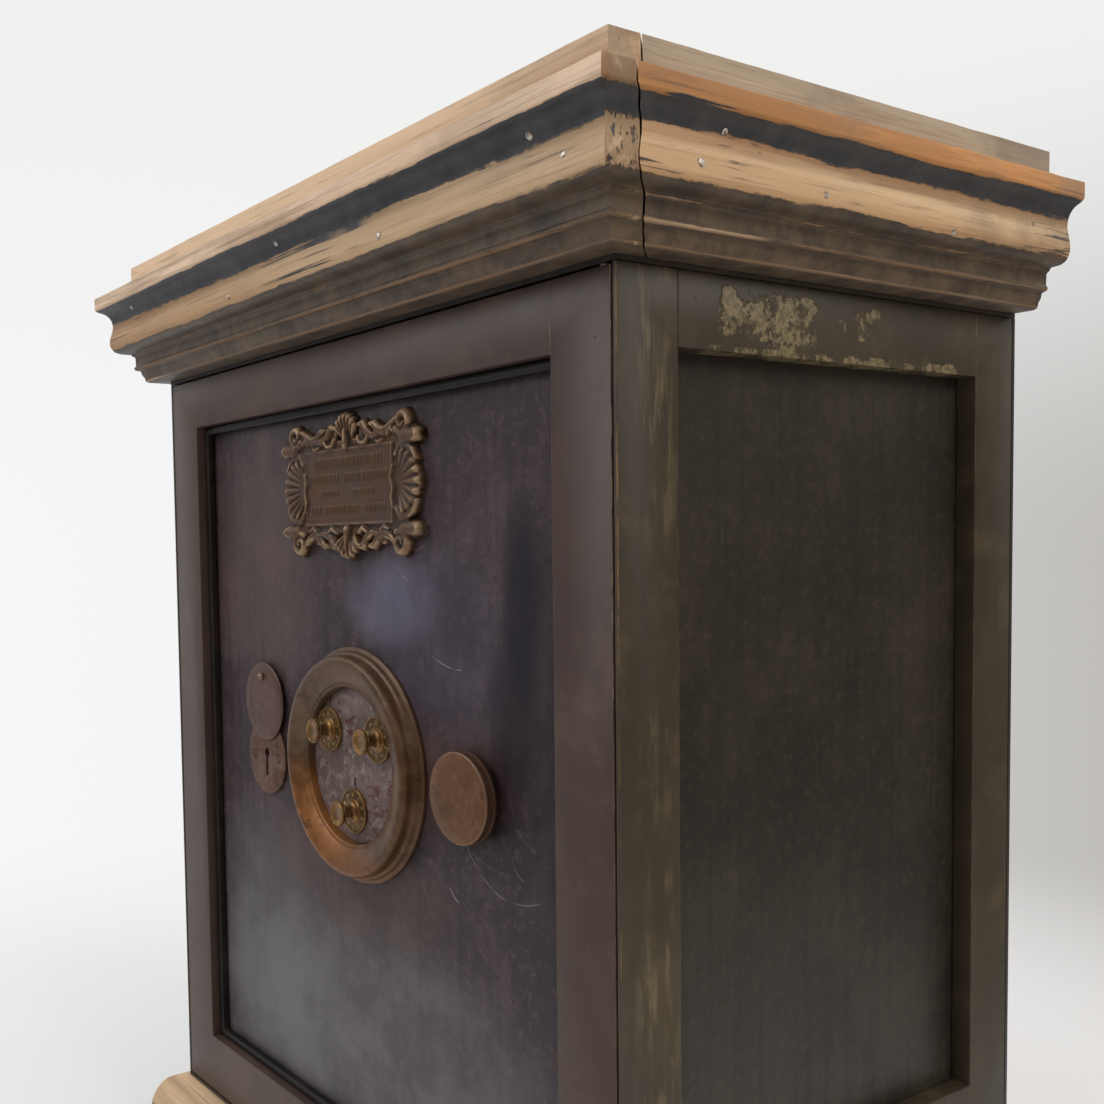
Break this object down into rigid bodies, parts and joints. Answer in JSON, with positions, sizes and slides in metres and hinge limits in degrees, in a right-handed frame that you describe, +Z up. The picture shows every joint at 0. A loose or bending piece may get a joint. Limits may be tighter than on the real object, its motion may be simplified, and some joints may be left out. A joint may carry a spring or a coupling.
{
  "type": "safe",
  "caption": "Upright iron safe on a wooden plinth with a moulded wooden cornice, panelled sides, a hinged door, turning dials, a swinging keyhole cover and a bolt knob that throws the bolts.",
  "frame": {"origin": "centre of the bounding box's footprint, on the floor", "axes": "+Z up; the door faces -Y; the door's hinges are at +X"},
  "size_m": [0.6964, 0.456, 0.912],
  "materials": {
    "bare_wood": "bare, worn, with remains of dark paint",
    "board_wood": "weathered",
    "frame_paint": "aged satin paint",
    "side_paint": "aged satin paint",
    "door_paint": "aged satin paint",
    "iron": "dark primer on iron plate",
    "fireproofing": "rough plaster",
    "inner_paint": "satin enamel",
    "steel": "bright",
    "brass": "aged",
    "brown_metal": "brown patina"
  },
  "bodies": {
    "case": {"plinth_front": "bare_wood", "plinth_left": "bare_wood", "plinth_right": "bare_wood", "plinth_back_rail": "board_wood", "plinth_board": "board_wood", "cornice_front": "bare_wood", "cornice_left": "bare_wood", "cornice_right": "bare_wood", "cornice_back_rail": "board_wood", "cornice_board": "board_wood", "top_plate": "iron", "bottom_plate": "iron", "back_plate": "iron", "left_side_frame": "frame_paint", "right_side_frame": "frame_paint", "left_side_panel": "side_paint", "right_side_panel": "side_paint", "front_jamb": "iron", "fireproof_filling": "fireproofing", "inner_box": "inner_paint", "shelf": "inner_paint", "shelf_bracket_left": "iron", "shelf_bracket_right": "iron", "pivot_pin_top": "steel", "pivot_pin_bottom": "steel"},
    "door": {"door_frame": "frame_paint", "door_panel": "door_paint", "door_panel_bead": "door_paint", "door_filling": "fireproofing", "door_bolt_case": "iron", "door_back_plate": "inner_paint", "lock_case": "iron", "dog_bolt_1": "steel", "dog_bolt_2": "steel", "nameplate": "brown_metal", "rosette_ring": "brown_metal", "rosette_plate": "brown_metal", "keyhole_escutcheon": "brown_metal", "escutcheon_screw_left": "brown_metal", "escutcheon_screw_right": "brown_metal", "keyhole_cover_pin": "steel"},
    "keyhole_cover": {"keyhole_cover": "brown_metal", "keyhole_cover_stud": "steel"},
    "bolt_knob": {"bolt_knob": "brown_metal", "bolt_knob_spindle": "steel", "bolt_pinion": "brass"},
    "bolt_work": {"bolt_carriage": "steel", "bolt_1": "steel", "bolt_2": "steel", "bolt_3": "steel"},
    "dial_1": {"dial_1": "brass", "dial_spindle_1": "steel", "combination_wheel_1": "brass"},
    "dial_2": {"dial_2": "brass", "dial_spindle_2": "steel", "combination_wheel_2": "brass"},
    "dial_3": {"dial_3": "brass", "dial_spindle_3": "steel", "combination_wheel_3": "brass"}
  },
  "joints": [
    {"name": "door_swing", "type": "hinge", "parent": "case", "child": "door", "pos_m": [0.2865, -0.1675, 0.461], "axis": [0, 0, 1], "range_deg": [0, 110]},
    {"name": "dial_1_turn", "type": "hinge", "parent": "door", "child": "dial_1", "pos_m": [-0.03464, -0.172, 0.496], "axis": [0, -1, 0], "continuous": true},
    {"name": "dial_2_turn", "type": "hinge", "parent": "door", "child": "dial_2", "pos_m": [0.03464, -0.172, 0.496], "axis": [0, -1, 0], "continuous": true},
    {"name": "dial_3_turn", "type": "hinge", "parent": "door", "child": "dial_3", "pos_m": [0, -0.172, 0.436], "axis": [0, -1, 0], "continuous": true},
    {"name": "keyhole_cover_swing", "type": "hinge", "parent": "door", "child": "keyhole_cover", "pos_m": [-0.146, -0.161, 0.484], "axis": [0, -1, 0], "range_deg": [0, 180]},
    {"name": "bolt_knob_turn", "type": "hinge", "parent": "door", "child": "bolt_knob", "pos_m": [0.146, -0.172, 0.471], "axis": [0, 1, 0], "range_deg": [0, 90]},
    {"name": "bolt_throw", "type": "slide", "parent": "door", "child": "bolt_work", "axis": [-1, 0, 0], "range_m": [0, 0.02]}
  ],
  "couplings": [
    {"joint": "bolt_knob_turn", "follows": "bolt_throw", "rad_per_m": 78.54}
  ]
}
